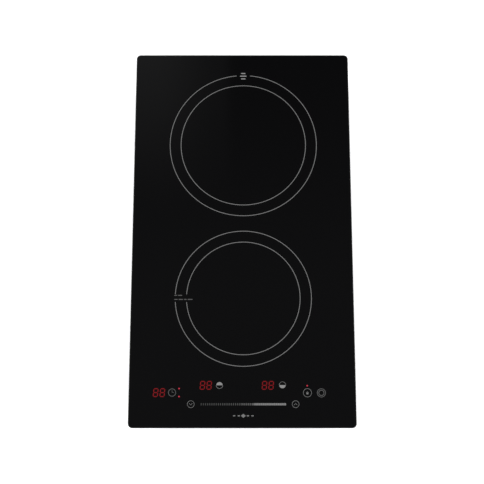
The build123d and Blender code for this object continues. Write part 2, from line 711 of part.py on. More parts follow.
def terminal_block():
    """Five-pole terminal block standing over the hand hole, with its screws facing down to it."""
    height = 15.0
    body = block(terminal_x, terminal_y, (floor_top, floor_top + height))
    body = chamfer(body.edges().group_by(Axis.Z)[-1], 0.8)
    ear_x = (terminal_screws[0][0] - 3.5, terminal_screws[1][0] + 3.5)
    body += block(ear_x, (terminal_y[0] + 2, terminal_y[1] - 2), (floor_top, floor_top + 6))
    body -= [disc(x, y, (0, 30), m3[0] + 0.15) for x, y in terminal_screws]
    for i in range(5):
        x = pole_x(i)
        body -= disc(x, 160, (floor_top - 1, floor_top + 7), 2.8)
        body -= Pos(x, 160, wire_level) * Rot(90, 0, 0) * Cylinder(2.0, 20)
        screw_head = disc(x, 160, (floor_top + 3.5, floor_top + 6), 2.8)
        body += screw_head - Pos(x, 160, floor_top + 3.5) * Box(4.6, 0.8, 2)
        body += disc(x, 160, (floor_top + 5.5, floor_top + 9), 1.45)
    for i in range(4):
        x = pole_x(i) + pole_pitch / 2
        body -= block((x - 0.5, x + 0.5), (150, 170), (floor_top + 9, floor_top + 20))
    return body


def along_gland(shape):
    """Lays a shape that stands along +Z on the gland's axis, pointing to the back, from the wall."""
    return Pos(gland_x, recess_y, gland_z) * Rot(-90, 0, 0) * shape


def gland_body():
    """Threaded sleeve through the recess wall with a hexagon outside it."""
    hexagon = extrude(RegularPolygon(12, 6), 6)
    sleeve = Pos(0, 0, 4.0) * Cylinder(8.0, 28)
    bore = Cylinder(cable_radius, 60)
    pocket = Pos(0, 0, 13) * Cylinder(6.9, 10)
    return along_gland(hexagon + sleeve - bore - pocket)


def gland_nuts():
    """Lock nut inside the casing and dome nut outside."""
    lock = Pos(0, 0, -6) * extrude(RegularPolygon(12, 6), 5) - Cylinder(8.05, 60)
    dome = Pos(0, 0, 13) * Cylinder(11, 13.8)
    dome = fillet(dome.edges().group_by(Axis.Z)[-1], 3.0)
    grip = block((10.4, 12), (-0.9, 0.9), (4, 16))
    dome -= [Rot(0, 0, 30 * i) * grip for i in range(12)]
    dome -= Pos(0, 0, 12.05) * Cylinder(8.05, 12)
    dome -= Cylinder(cable_radius, 60)
    return group([along_gland(lock), along_gland(dome)])


def gland_seal():
    return along_gland(ring(0, 0, (8.05, 17.95), cable_radius, 6.85))


def mains_wires():
    """Live and neutral wires to the filter board, and the earth wire to its lug on the floor."""
    radius = 1.4
    start, landing = terminal_y[0] - 0.05, mains_socket[1] + 4.05
    x, end = pole_x(2), mains_socket[0] - 4
    live = [(x, start, wire_level), (x, 148, wire_level + 0.5), (end, 138, 15.5), (end, landing, 15.5)]
    x, end = pole_x(3), mains_socket[0] + 4
    neutral = [(x, start, wire_level), (x, 147, wire_level + 0.8), (end, 137, 16), (end, landing, 16)]
    x = pole_x(0)
    earth = [(x, start, wire_level), (x - 1, 149.5, wire_level), (66, 149, 12), (54, 156, 8), (46.6, 162, 6)]
    lug = disc(43, 163, (floor_top, floor_top + 4), 4.0)
    return group([cable(live, radius), cable(neutral, radius), cable(earth, radius), lug])


# ---- the control unit ------------------------------------------------------------------------
display_places = [(-109.7, -214.0), (-48.0, -204.6), (33.8, -204.6)]
led_places = [(-83.3, -208.8), (-83.3, -219.2), (85.7, -205.0)]
key_places = [(-92.5, -214.0), (-30.0, -204.4), (53.0, -204.4), (85.7, -214.2), (104.2, -214.2)]
key_places += [(-67.7, -227.0), (70.1, -227.0)]
slider_places = [(-49.0 + 14.0 * i, -227.0) for i in range(8)]
tray_boss_places = [(-116.5, -196.0), (-60, -196.0), (60.0, -196.0), (116.5, -196.0)]
tray_boss_places += [(-116.5, -227.0), (0.0, -216.0), (116.5, -227.0)]
ribbon_y = -199.2


def control_tray():
    """Moulded tray under the glass, with ears screwed to the carrier frame's flange."""
    half = tray_half_width
    tray = block((-half, half), (tray_front, tray_back), (tray_bottom, rim_top - sheet))
    tray = fillet(tray.edges().filter_by(Axis.Z), 2.0)
    inner = (tray_front + tray_wall, tray_back - tray_wall)
    tray -= block((-half + tray_wall, half - tray_wall), inner, (tray_bottom + tray_wall, 60))
    bosses = (tray_bottom + 1, control_board_top - board_thickness)
    tray += [disc(x, y, bosses, 2.5) for x, y in tray_boss_places]
    for x, y in tray_screw_places():
        xs = sorted((x / abs(x) * (half - 1), x / abs(x) * 130.0))
        tray += block(xs, (y - 4, y + 4), (rim_top - sheet - 2.5, rim_top - sheet))
        tray -= disc(x, y, (40, 60), m3[0] + 0.15)
    slot = (ribbon_socket[0] - 6.5, ribbon_socket[0] + 6.5)
    tray -= block(slot, (ribbon_y - 2, ribbon_y + 2), (tray_bottom - 1, tray_bottom + 2))
    return tray


def control_board():
    edge = tray_wall + 0.8
    xs = (-tray_half_width + edge, tray_half_width - edge)
    ys = (tray_front + edge, tray_back - edge)
    plate = block(xs, ys, (control_board_top - board_thickness, control_board_top))
    return fillet(plate.edges().filter_by(Axis.Z), 1.5)


def display_modules():
    """Three two-digit displays: a block with a window for each bar of its figures."""
    modules = []
    top = rim_top + 0.4
    for x, y in display_places:
        body = block((x - 9.6, x + 9.6), (y - 7, y + 7), (control_board_top, top))
        for digit in (-4.2, 4.2):
            for dy in (-5.0, 0.0, 5.0):
                body -= Pos(x + digit, y + dy, top) * Box(4.4, 0.9, 0.6)
            for dx in (-2.9, 2.9):
                for dy in (-2.5, 2.5):
                    body -= Pos(x + digit + dx, y + dy, top) * Box(0.9, 3.8, 0.6)
        modules.append(body)
    return group(modules)


def indicator_leds():
    leds = []
    for x, y in led_places:
        lens = disc(x, y, (control_board_top, rim_top - 1), 1.5)
        lens = fillet(lens.edges().group_by(Axis.Z)[-1], 1.2)
        leds.append(lens + disc(x, y, (control_board_top, control_board_top + 1), 1.9))
    return group(leds)


def touch_springs():
    """A spring under each touch key and along the slider, between the board and the glass."""
    levels = (control_board_top, glass_bottom - 0.1)
    return group([spring(x, y, levels, 3.2, 0.35, 4) for x, y in key_places + slider_places])


def control_chips():
    """The control board's processor, its sounder, and the power board's processor."""
    top = control_board_top
    processor = block((-20, -10), (-222, -212), (top, top + 1.6))
    sounder = ring(14, -205, (top, top + 5), 1.0, 6.0)
    driver = block((-8, 2), (0, 10), (board_top, board_top + 1.8))
    return group([processor, sounder, driver])


# ---- inside wiring ---------------------------------------------------------------------------
def coil_leads(zone_y, hole, terminals, socket):
    """Two litz leads from a coil down to its screw posts, and its sensor's lead to a socket."""
    hx, hy = hole
    leads = []
    for offset, (tx, ty) in zip((-4.5, 4.5), terminals):
        top = (hx + 1, hy + offset, winding_bottom - 0.05)
        middle = (hx + 1, hy + offset, plate_bottom - 3)
        leads.append(cable([top, middle, (tx, ty, board_top + 13), (tx, ty, board_top + 5.05)], 1.9))
    sx, sy = socket
    start = (0, zone_y, sensor_floor + sensor_travel + clear - 0.05)
    turn = (0, zone_y, plate_bottom - 2)
    leads.append(cable([start, turn, (sx, sy, board_top + 14), (sx, sy, board_top + 7.05)], 1.1))
    return group(leads)


def rear_coil_leads():
    return coil_leads(rear_zone_y, lead_hole_places()[0], lead_terminals[:2], sensor_sockets[0])


def front_coil_leads():
    return coil_leads(front_zone_y, lead_hole_places()[1], lead_terminals[2:], sensor_sockets[1])


def ribbon_cable():
    """Flat cable from under the control board, down past the blower, to the power board's socket."""
    x, level = ribbon_socket[0], board_top + 3.5
    top = (x, ribbon_y, control_board_top - board_thickness - 0.05)
    end = (x, ribbon_socket[1] - 4.05, level)
    line = FilletPolyline(top, (x, ribbon_y, level), end, radius=12)
    flat = Plane(origin=line @ 0, z_dir=line % 0, x_dir=(1, 0, 0)) * Rectangle(10, 1.2)
    return sweep(flat, path=line)


def blower_lead():
    """Lead from the blower's roof down to its socket on the power board."""
    x, y = blower_socket
    level = blower_top + 1.3
    points = [(-46, -136, level), (-21, -104, level), (x, -80, 27), (x, y, 27), (x, y, board_top + 7.05)]
    return cable(points, 1.2)


# ---- every node ------------------------------------------------------------------------------
zones = {"rear": (rear_zone_y, rear_winding_radius), "front": (front_zone_y, front_winding_radius)}
nodes = {
    "glass_top": glass_top(),
    "glass_bond": glass_bond(),
    "worktop_seal": worktop_seal(),
    "carrier_frame": carrier_frame(),
    "bottom_casing": bottom_casing(),
    "casing_screws": casing_screws(),
    "terminal_cover": terminal_cover(),
    "bracket_fasteners": bracket_fasteners(),
    "coil_support_plate": coil_support_plate(),
    "standoffs": standoffs(),
    "internal_screws": internal_screws(),
    "rear_coil_leads": rear_coil_leads(),
    "front_coil_leads": front_coil_leads(),
    "blower_housing": blower_housing(),
    "blower_cover": blower_cover(),
    "blower_impeller": blower_impeller(),
    "blower_magnet": blower_magnet(),
    "blower_shaft": blower_shaft(),
    "blower_bearing": blower_bearing(),
    "blower_stator": blower_stator(),
    "blower_lead": blower_lead(),
    "power_board": power_board(),
    "heat_sink": heat_sink(),
    "power_transistors": power_transistors(),
    "film_capacitors": film_capacitors(),
    "electrolytic_capacitors": electrolytic_capacitors(),
    "inductors": inductors(),
    "board_connectors": board_connectors(),
    "filter_board": filter_board(),
    "mains_fuse": mains_fuse(),
    "terminal_block": terminal_block(),
    "mains_wires": mains_wires(),
    "gland_body": gland_body(),
    "gland_nuts": gland_nuts(),
    "gland_seal": gland_seal(),
    "control_tray": control_tray(),
    "control_board": control_board(),
    "display_modules": display_modules(),
    "indicator_leds": indicator_leds(),
    "touch_springs": touch_springs(),
    "control_chips": control_chips(),
    "ribbon_cable": ribbon_cable(),
}
for zone, (zone_y, winding_radius) in zones.items():
    nodes[f"{zone}_coil_former"] = coil_former(zone_y, winding_radius)
    nodes[f"{zone}_coil_winding"] = coil_winding(zone_y, winding_radius)
    nodes[f"{zone}_coil_ferrites"] = coil_ferrites(zone_y, winding_radius)
    nodes[f"{zone}_coil_insulation"] = coil_insulation(zone_y, winding_radius)
    nodes[f"{zone}_coil_springs"] = coil_springs(zone_y, winding_radius)
    nodes[f"{zone}_sensor"] = sensor(zone_y)
    nodes[f"{zone}_sensor_spring"] = sensor_spring(zone_y)
for side, hand in ((-1, "left"), (1, "right")):
    for y, end in ((-bracket_y, "front"), (bracket_y, "rear")):
        nodes[f"bracket_{hand}_{end}"] = bracket(side, y)

os.makedirs("parts", exist_ok=True)
for name, shape in nodes.items():
    export_step(shape, f"parts/{name}.step")
print(len(nodes), "nodes")
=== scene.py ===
import bpy
import json
import numpy as np
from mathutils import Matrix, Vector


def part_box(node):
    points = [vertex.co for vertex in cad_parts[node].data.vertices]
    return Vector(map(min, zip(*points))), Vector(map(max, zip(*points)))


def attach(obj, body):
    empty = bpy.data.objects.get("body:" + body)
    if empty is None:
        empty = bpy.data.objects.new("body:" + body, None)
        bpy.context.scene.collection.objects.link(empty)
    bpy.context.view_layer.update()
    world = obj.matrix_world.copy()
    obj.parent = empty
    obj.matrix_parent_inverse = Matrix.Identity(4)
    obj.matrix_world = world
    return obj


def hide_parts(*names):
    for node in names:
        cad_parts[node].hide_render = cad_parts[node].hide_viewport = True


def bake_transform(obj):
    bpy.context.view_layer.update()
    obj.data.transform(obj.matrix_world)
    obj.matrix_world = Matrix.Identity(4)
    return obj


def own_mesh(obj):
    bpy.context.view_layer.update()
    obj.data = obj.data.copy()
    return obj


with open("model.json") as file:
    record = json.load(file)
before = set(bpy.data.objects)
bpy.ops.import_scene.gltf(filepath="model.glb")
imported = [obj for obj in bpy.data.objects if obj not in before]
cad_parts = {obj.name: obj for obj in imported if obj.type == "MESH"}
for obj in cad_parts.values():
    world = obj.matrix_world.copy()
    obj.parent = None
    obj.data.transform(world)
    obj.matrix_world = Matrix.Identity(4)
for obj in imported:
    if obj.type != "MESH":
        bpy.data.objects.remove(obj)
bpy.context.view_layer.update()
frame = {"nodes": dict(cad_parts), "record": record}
nodes = frame["nodes"]
mm = 0.001


# ---- camera ----------------------------------------------------------------------------------
# A long lens looks steeply down on the glass from in front of the cooktop.
# It is aimed at the glass's face, a little in front of its middle.
glass_face = float(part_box("glass_top")[1][2])
aim = np.array([-0.37 * mm, -11.5 * mm, glass_face])
steepness, distance = np.radians(78.42), 1.232
camera = bpy.data.objects.new("camera", bpy.data.cameras.new("camera"))
camera.data.lens, camera.data.sensor_width = 67.28, 36.0
camera.location = aim + distance * np.array([0, -np.cos(steepness), np.sin(steepness)])
camera.rotation_euler = (np.pi / 2 - steepness, 0, 0)
bpy.context.scene.collection.objects.link(camera)
bpy.context.scene.camera = camera


# ---- glass top -------------------------------------------------------------------------------
# Black glass-ceramic, rolled flat, cut with round corners and ground to a bevel all round.
# It is dyed through, so it shows as a deep black with a hard polish and a very slight roll wave.
def linear(hex_colour):
    """An sRGB hex value as a linear RGBA colour: each channel through the sRGB curve."""
    channels = np.array([int(hex_colour[i : i + 2], 16) for i in (1, 3, 5)]) / 255
    curve = np.where(channels <= 0.04045, channels / 12.92, ((channels + 0.055) / 1.055) ** 2.4)
    return (*[float(value) for value in curve], 1.0)


def add(material, kind, inputs=None, **settings):
    """Adds one shader node: settings are its own properties, inputs are values or links by name."""
    node = material.node_tree.nodes.new(kind)
    for name, value in settings.items():
        setattr(node, name, value)
    for name, value in (inputs or {}).items():
        if isinstance(value, bpy.types.NodeSocket):
            material.node_tree.links.new(value, node.inputs[name])
        else:
            node.inputs[name].default_value = value
    return node


def new_material(name):
    material = bpy.data.materials.new(name)
    material.use_nodes = True
    material.node_tree.nodes.clear()
    return material


def finish_with(material, shader):
    add(material, "ShaderNodeOutputMaterial", {"Surface": shader.outputs[0]})
    return material


def dress(material, *names):
    """Gives CAD nodes a material in place of their own."""
    for name in names:
        nodes[name].data.materials.clear()
        nodes[name].data.materials.append(material)


def polished_glass_ceramic():
    material = new_material("polished black glass-ceramic")
    place = add(material, "ShaderNodeTexCoord")
    spot = place.outputs["Object"]
    # The roll wave is 60 mm long, and the smears left by wiping are 25 mm across.
    wave = add(material, "ShaderNodeTexNoise", {"Vector": spot, "Scale": 1 / (60 * mm)})
    rise = {"Height": wave.outputs["Fac"], "Strength": 0.02, "Distance": 0.4 * mm}
    height = add(material, "ShaderNodeBump", rise)
    smear_size = {"Vector": spot, "Scale": 1 / (25 * mm), "Detail": 6.0}
    smear = add(material, "ShaderNodeTexNoise", smear_size)
    gloss_range = {"Value": smear.outputs["Fac"], "To Min": 0.03, "To Max": 0.065}
    gloss = add(material, "ShaderNodeMapRange", gloss_range)
    surface = {
        "Base Color": linear("#080809"),
        "Roughness": gloss.outputs[0],
        "IOR": 1.53,
        "Normal": height.outputs[0],
    }
    shader = add(material, "ShaderNodeBsdfPrincipled", surface)
    return finish_with(material, shader)


dress(polished_glass_ceramic(), "glass_top")


# ---- zone circles ----------------------------------------------------------------------------
# Two grey circles mark each zone: ceramic ink, screen printed on the glass and fired into it.
# The outer rear circle is open at the back for a mark, and both front ones at the left.
def closed_mesh(name, parts, material, body=None):
    """One mesh of closed skins, on a body if one is named. A part is (sections, looped): an array
    of loops of points, rows by columns by xyz. Quads join neighbours along rows and columns, and a
    flat cap shuts each open end."""
    points, faces, start = [], [], 0
    for sections, looped in parts:
        rows, columns = sections.shape[:2]
        index = start + np.arange(rows * columns).reshape(rows, columns)
        near = index if looped else index[:-1]
        far = np.roll(index, -1, axis=0)[: len(near)]
        quads = np.stack([near, np.roll(near, -1, 1), np.roll(far, -1, 1), far], -1)
        faces += quads.reshape(-1, 4).tolist()
        if not looped:
            faces += [index[0, ::-1].tolist(), index[-1].tolist()]
        points.append(sections.reshape(-1, 3))
        start += rows * columns
    mesh = bpy.data.meshes.new(name)
    mesh.from_pydata(np.concatenate(points).tolist(), [], faces)
    mesh.materials.append(material)
    piece = bpy.data.objects.new(name, mesh)
    bpy.context.scene.collection.objects.link(piece)
    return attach(piece, body) if body else piece


ink_bottom, ink_top = glass_face - 0.01 * mm, glass_face + 0.04 * mm


def ink_arc(centre, radius, width, start=0.0, end=360.0):
    """A flat band along a circle: at each angle its section is a thin upright rectangle."""
    whole = end - start >= 360
    count = max(12, int((end - start) * 0.5))
    angles = np.radians(np.linspace(start, end, count, endpoint=not whole))
    across = radius + width / 2 * np.array([-1, -1, 1, 1])
    level = np.broadcast_to([ink_top, ink_bottom, ink_bottom, ink_top], (len(angles), 4))
    x = centre[0] + np.cos(angles)[:, None] * across
    y = centre[1] + np.sin(angles)[:, None] * across
    return np.stack([x, y, level], -1)[::-1], whole


def ink_shape(outline):
    """A flat plate: its outline, anticlockwise in metres, at the ink's underside and at its face."""
    flat = np.asarray(outline, float)
    levels = [np.column_stack([flat, np.full(len(flat), level)]) for level in (ink_bottom, ink_top)]
    return np.stack(levels), False


def fired_ink(name, light, dark):
    """Fired ceramic ink: matt, slightly uneven, with the fine dots of the printing screen."""
    material = new_material(name)
    place = add(material, "ShaderNodeTexCoord")
    spot = place.outputs["Object"]
    # The screen's dots are 0.3 mm apart, and the ink's patches are 6 mm across.
    screen = {"Vector": spot, "Scale": 1 / (0.3 * mm), "Randomness": 0.3}
    dots = add(material, "ShaderNodeTexVoronoi", screen)
    patch = add(material, "ShaderNodeTexNoise", {"Vector": spot, "Scale": 1 / (6 * mm)})
    both = {0: dots.outputs["Distance"], 1: patch.outputs["Fac"]}
    amount = add(material, "ShaderNodeMath", both, operation="MULTIPLY")
    colour = add(material, "ShaderNodeValToRGB", {"Fac": amount.outputs[0]})
    colour.color_ramp.elements[0].color = linear(light)
    colour.color_ramp.elements[1].color = linear(dark)
    rise = {"Height": dots.outputs["Distance"], "Strength": 0.2, "Distance": 0.02 * mm}
    height = add(material, "ShaderNodeBump", rise)
    shader = add(
        material,
        "ShaderNodeBsdfPrincipled",
        {"Base Color": colour.outputs[0], "Roughness": 0.6, "Normal": height.outputs[0]},
    )
    return finish_with(material, shader)


grey_ink = fired_ink("fired grey ceramic ink", "#727272", "#4c4c4c")
pale_ink = fired_ink("fired pale ceramic ink", "#868686", "#626262")
dim_ink = fired_ink("fired dark grey ceramic ink", "#4c4c4c", "#303030")
places = {mount["name"]: np.array(mount["pos_m"]) for mount in frame["record"]["mounts"]}
rear_centre, front_centre = places["rear_zone"][:2], places["front_zone"][:2]
line = 0.88 * mm
# For each circle: its centre, its radius, and the angles in degrees where its line starts and ends.
circles = {
    "rear_zone_outer_circle": (rear_centre, 101.8 * mm, 95.3, 444.7),
    "rear_zone_inner_circle": (rear_centre, 86.6 * mm, 0.0, 360.0),
    "front_zone_outer_circle": (front_centre, 91.6 * mm, 183.6, 537.0),
    "front_zone_inner_circle": (front_centre, 76.4 * mm, 184.4, 536.4),
}
for name, (centre, radius, start, end) in circles.items():
    closed_mesh(name, [ink_arc(centre, radius, line, start, end)], grey_ink, "casing")


# ---- plain marks in the circles --------------------------------------------------------------
# Small plain marks stand in the circles' gaps: three bars at the back, and two rows at the left.
# They are the same fired ink.
def box_outline(centre, size):
    half = np.array(size) / 2
    corners = np.array([[-1, -1], [1, -1], [1, 1], [-1, 1]]) * half
    return corners + centre


mark_place = rear_centre + [0, 101.0 * mm]
bar_rows = ((-4, 6), (0, 9), (4, 6))
bars = [box_outline(mark_place + [0, y * mm], (w * mm, 1.5 * mm)) for y, w in bar_rows]
closed_mesh("rear_zone_mark", [ink_shape(bar) for bar in bars], pale_ink, "casing")
rows = []
for y, widths in ((3.2, (3.6, 5.4)), (-2.3, (4.4, 6.0, 3.4, 6.4))):
    x = -91.4
    for width in widths:
        middle = (x * mm + width / 2 * mm, front_centre[1] + y * mm)
        rows.append(box_outline(middle, (width * mm, 1.2 * mm)))
        x += width + 1.4
closed_mesh("front_zone_mark", [ink_shape(row) for row in rows], dim_ink, "casing")
centre_mark = [box_outline((x * mm, -244 * mm), (3.0 * mm, 1.4 * mm)) for x in (-10.6, -4.6, 7.4, 13.4)]
diamond = np.array([[0, -2.6], [3.2, 0], [0, 2.6], [-3.2, 0]]) * mm + [1.4 * mm, -244 * mm]
closed_mesh("front_edge_mark", [ink_shape(shape) for shape in centre_mark + [diamond]], grey_ink, "casing")


# ---- control symbols -------------------------------------------------------------------------
# Touch symbols printed over the control unit: timer, zone choice, lock, power and two chevrons.
# Each is a circle or half disc of ink a few millimetres across.
def half_disc(centre, radius, start):
    angles = np.radians(np.linspace(start, start + 180, 24))
    return centre + radius * np.column_stack([np.cos(angles), np.sin(angles)])


def stroke(start, end, width):
    """A straight stroke of ink: a rectangle along the line between two points."""
    start, end = np.array(start, float), np.array(end, float)
    along = (end - start) / np.linalg.norm(end - start)
    side = np.array([-along[1], along[0]]) * width / 2
    return np.array([start - side, end - side, end + side, start + side])


def millimetres(x, y):
    return np.array([x, y]) * mm


timer = millimetres(-92.5, -213.9)
closed_mesh(
    "timer_symbol",
    [
        ink_arc(timer, 4.8 * mm, 0.8 * mm),
        ink_shape(stroke(timer, timer + [0, 3.0 * mm], 0.6 * mm)),
        ink_shape(stroke(timer, timer + [2.4 * mm, 0], 0.6 * mm)),
    ],
    dim_ink,
    "casing",
)
for name, centre, start in (("rear", (-30.1, -204.4), 0), ("front", (53.0, -204.2), 180)):
    place = millimetres(*centre)
    parts = [ink_shape(half_disc(place, 4.5 * mm, start)), ink_arc(place, 4.3 * mm, 0.35 * mm)]
    closed_mesh(f"{name}_zone_symbol", parts, pale_ink, "casing")
for name, centre, turn in (("lower", (-67.7, -229.0), -1), ("raise", (70.1, -229.0), 1)):
    place = millimetres(*centre)
    tip = place + [0, turn * 1.0 * mm]
    ends = [place + [side * 2.0 * mm, -turn * 1.0 * mm] for side in (-1, 1)]
    parts = [ink_arc(place, 4.5 * mm, 0.5 * mm)] + [ink_shape(stroke(end, tip, 0.5 * mm)) for end in ends]
    closed_mesh(f"{name}_symbol", parts, grey_ink, "casing")
lock = millimetres(85.8, -214.2)
lock_parts = [
    ink_arc(lock, 5.4 * mm, 0.5 * mm),
    ink_shape(box_outline(lock + [0, -0.9 * mm], (2.6 * mm, 2.2 * mm))),
    ink_arc(lock + [0, 0.2 * mm], 1.0 * mm, 0.5 * mm, 0, 180),
]
closed_mesh("lock_symbol", lock_parts, grey_ink, "casing")
power = millimetres(104.2, -214.3)
power_parts = [ink_arc(power, 5.4 * mm, 0.8 * mm), ink_arc(power, 3.4 * mm, 0.9 * mm)]
closed_mesh("power_symbol", power_parts, dim_ink, "casing")


# ---- slider ----------------------------------------------------------------------------------
# The power slider is a row of printed bars that widen and brighten to the right until they join.
# The ink's tone follows the distance along the slider.
def slider_ink(left, right):
    material = new_material("fired ceramic ink, graded along the slider")
    place = add(material, "ShaderNodeTexCoord")
    axes = add(material, "ShaderNodeSeparateXYZ", {"Vector": place.outputs["Object"]})
    reach = {"Value": axes.outputs["X"], "From Min": left, "From Max": right}
    along = add(material, "ShaderNodeMapRange", reach)
    tone = add(material, "ShaderNodeValToRGB", {"Fac": along.outputs[0]})
    tone.color_ramp.elements[0].color = linear("#242424")
    tone.color_ramp.elements[1].color = linear("#747474")
    middle = tone.color_ramp.elements.new(0.6)
    middle.color = linear("#424242")
    joined = tone.color_ramp.elements.new(0.64)
    joined.color = linear("#6c6c6c")
    shader = add(material, "ShaderNodeBsdfPrincipled", {"Base Color": tone.outputs[0], "Roughness": 0.6})
    return finish_with(material, shader)


slider_left, slider_right, slider_y = -55.4 * mm, 57.6 * mm, -229.1 * mm
bar_count = 40
pitch = (slider_right - slider_left) / bar_count
share = np.arange(bar_count) / bar_count
widths = pitch * np.where(share < 0.47, 0.45, np.where(share < 0.61, 0.72, 0.9))
slider_bars = [
    ink_shape(box_outline((slider_left + pitch * (i + 0.5), slider_y), (widths[i], 2.8 * mm)))
    for i in range(bar_count)
]
closed_mesh("slider_bars", slider_bars, slider_ink(slider_left, slider_right), "casing")


# ---- lit figures -----------------------------------------------------------------------------
# Three two-figure displays and three signal lamps shine red through the glass.
# Each bar of a figure is a separate light window.
def red_light(name, colour, strength):
    material = new_material(name)
    shader = add(
        material,
        "ShaderNodeBsdfPrincipled",
        {
            "Base Color": linear("#1c0303"),
            "Roughness": 0.3,
            "Emission Color": linear(colour),
            "Emission Strength": strength,
        },
    )
    return finish_with(material, shader)


def figure_bars(centre):
    """The seven bars of an eight: long hexagons, leaning to the right with their height."""
    wide, tall, thick, lean = 5.6, 10.2, 1.25, 0.09
    middles = [(0, tall / 2, 0), (0, 0, 0), (0, -tall / 2, 0)]
    middles += [(x, y, 1) for x in (-wide / 2, wide / 2) for y in (-tall / 4, tall / 4)]
    shapes = []
    for x, y, upright in middles:
        half = (tall / 4 if upright else wide / 2) - 0.35
        lower = [[-half, 0], [-half + 0.6, -1], [half - 0.6, -1]]
        upper = [[half, 0], [half - 0.6, 1], [-half + 0.6, 1]]
        bar = np.array(lower + upper) * [1, thick / 2]
        bar = bar @ np.array([[0, 1], [-1, 0]]) if upright else bar
        bar = bar + [x, y]
        bar[:, 0] += lean * bar[:, 1]
        shapes.append(ink_shape(bar * mm + centre))
    return shapes


figure_light = red_light("red display light behind dark glass", "#c00c1c", 0.36)
lamp_light = red_light("red signal lamp behind dark glass", "#e03a52", 0.75)
displays = {"timer": (-109.7, -214.0), "rear_zone": (-48.1, -204.5), "front_zone": (33.7, -204.5)}
for name, (x, y) in displays.items():
    figures = figure_bars(millimetres(x - 4.4, y)) + figure_bars(millimetres(x + 4.4, y))
    closed_mesh(f"{name}_figures", figures, figure_light, "casing")
whole_turn = np.linspace(0, 2 * np.pi, 20, endpoint=False)
for name, x, y in (("timer_upper", -83.3, -208.7), ("timer_lower", -83.3, -219.1), ("lock", 85.6, -205.0)):
    round_outline = millimetres(x, y) + 1.0 * mm * np.column_stack([np.cos(whole_turn), np.sin(whole_turn)])
    closed_mesh(f"{name}_lamp", [ink_shape(round_outline)], lamp_light, "casing")


# ---- seal and bond ---------------------------------------------------------------------------
# A strip of closed-cell foam lies under the glass's edge, and a silicone bead holds the frame.
# Both are dull black, the foam with pores half a millimetre across.
def grained(name, dark, light, grain, rough, bump, metallic=0.0, stretch=(1, 1, 1), cells=False):
    """A finish in which tone, roughness and height follow one pattern, grain metres from one spot
    to the next: soft noise, or flat cells of one tone each. Stretch lengthens it along an axis."""
    material = new_material(name)
    place = add(material, "ShaderNodeTexCoord")
    scale = tuple(1 / value for value in stretch)
    mapped = add(material, "ShaderNodeMapping", {"Vector": place.outputs["Object"], "Scale": scale})
    if cells:
        pattern = add(material, "ShaderNodeTexVoronoi", {"Vector": mapped.outputs[0], "Scale": 1 / grain})
        split = add(material, "ShaderNodeSeparateColor", {"Color": pattern.outputs["Color"]})
        amount = split.outputs[0]
    else:
        noise = {"Vector": mapped.outputs[0], "Scale": 1 / grain, "Detail": 5.0}
        pattern = add(material, "ShaderNodeTexNoise", noise)
        amount = pattern.outputs["Fac"]
    colour = add(material, "ShaderNodeValToRGB", {"Fac": amount})
    colour.color_ramp.elements[0].color = linear(dark)
    colour.color_ramp.elements[0].position = 0.1 if cells else 0.3
    colour.color_ramp.elements[1].color = linear(light)
    colour.color_ramp.elements[1].position = 0.9 if cells else 0.7
    gloss = add(material, "ShaderNodeMapRange", {"Value": amount, "To Min": rough[0], "To Max": rough[1]})
    height = add(material, "ShaderNodeBump", {"Height": amount, "Strength": bump, "Distance": grain / 4})
    shader = add(
        material,
        "ShaderNodeBsdfPrincipled",
        {
            "Base Color": colour.outputs[0],
            "Metallic": metallic,
            "Roughness": gloss.outputs[0],
            "Normal": height.outputs[0],
        },
    )
    return finish_with(material, shader)


dress(grained("closed-cell foam", "#0c0c0c", "#242424", 0.5 * mm, (0.8, 0.95), 0.6), "worktop_seal")
cured_silicone = grained("cured black silicone", "#0e0e0e", "#1a1a1a", 3 * mm, (0.35, 0.5), 0.15)
dress(cured_silicone, "glass_bond", "gland_seal")


# ---- casing, frame and cover -----------------------------------------------------------------
# Zinc-coated sheet steel, pressed and punched. The zinc froze in flat crystals about 4 mm across,
# which differ in tone and gloss.
spangled_zinc = grained(
    "hot-dip galvanised sheet", "#979b9e", "#a8acaf", 4 * mm, (0.36, 0.46), 0.02, 1.0, cells=True
)
dress(spangled_zinc, "bottom_casing", "carrier_frame", "terminal_cover")


# ---- screws, brackets and posts --------------------------------------------------------------
# Small steel parts with bright zinc plating, which leaves a faint cloudy sheen.
bright_zinc = grained("bright zinc plating", "#a4a6a5", "#c3c5c4", 2 * mm, (0.22, 0.38), 0.03, 1.0)
brackets = [name for name in nodes if name.startswith("bracket_")]
dress(bright_zinc, "casing_screws", "internal_screws", "standoffs", *brackets)


# ---- coil support plate and heat sink --------------------------------------------------------
# Rolled aluminium sheet under the coils, and an extruded aluminium comb under the transistors.
# Both have fine lines along the length in which the metal was drawn.
drawn_aluminium = grained(
    "mill finish aluminium", "#b9bbbd", "#d4d6d8", 0.8 * mm, (0.3, 0.45), 0.08, 1.0, (1, 40, 1)
)
dress(drawn_aluminium, "coil_support_plate", "heat_sink")


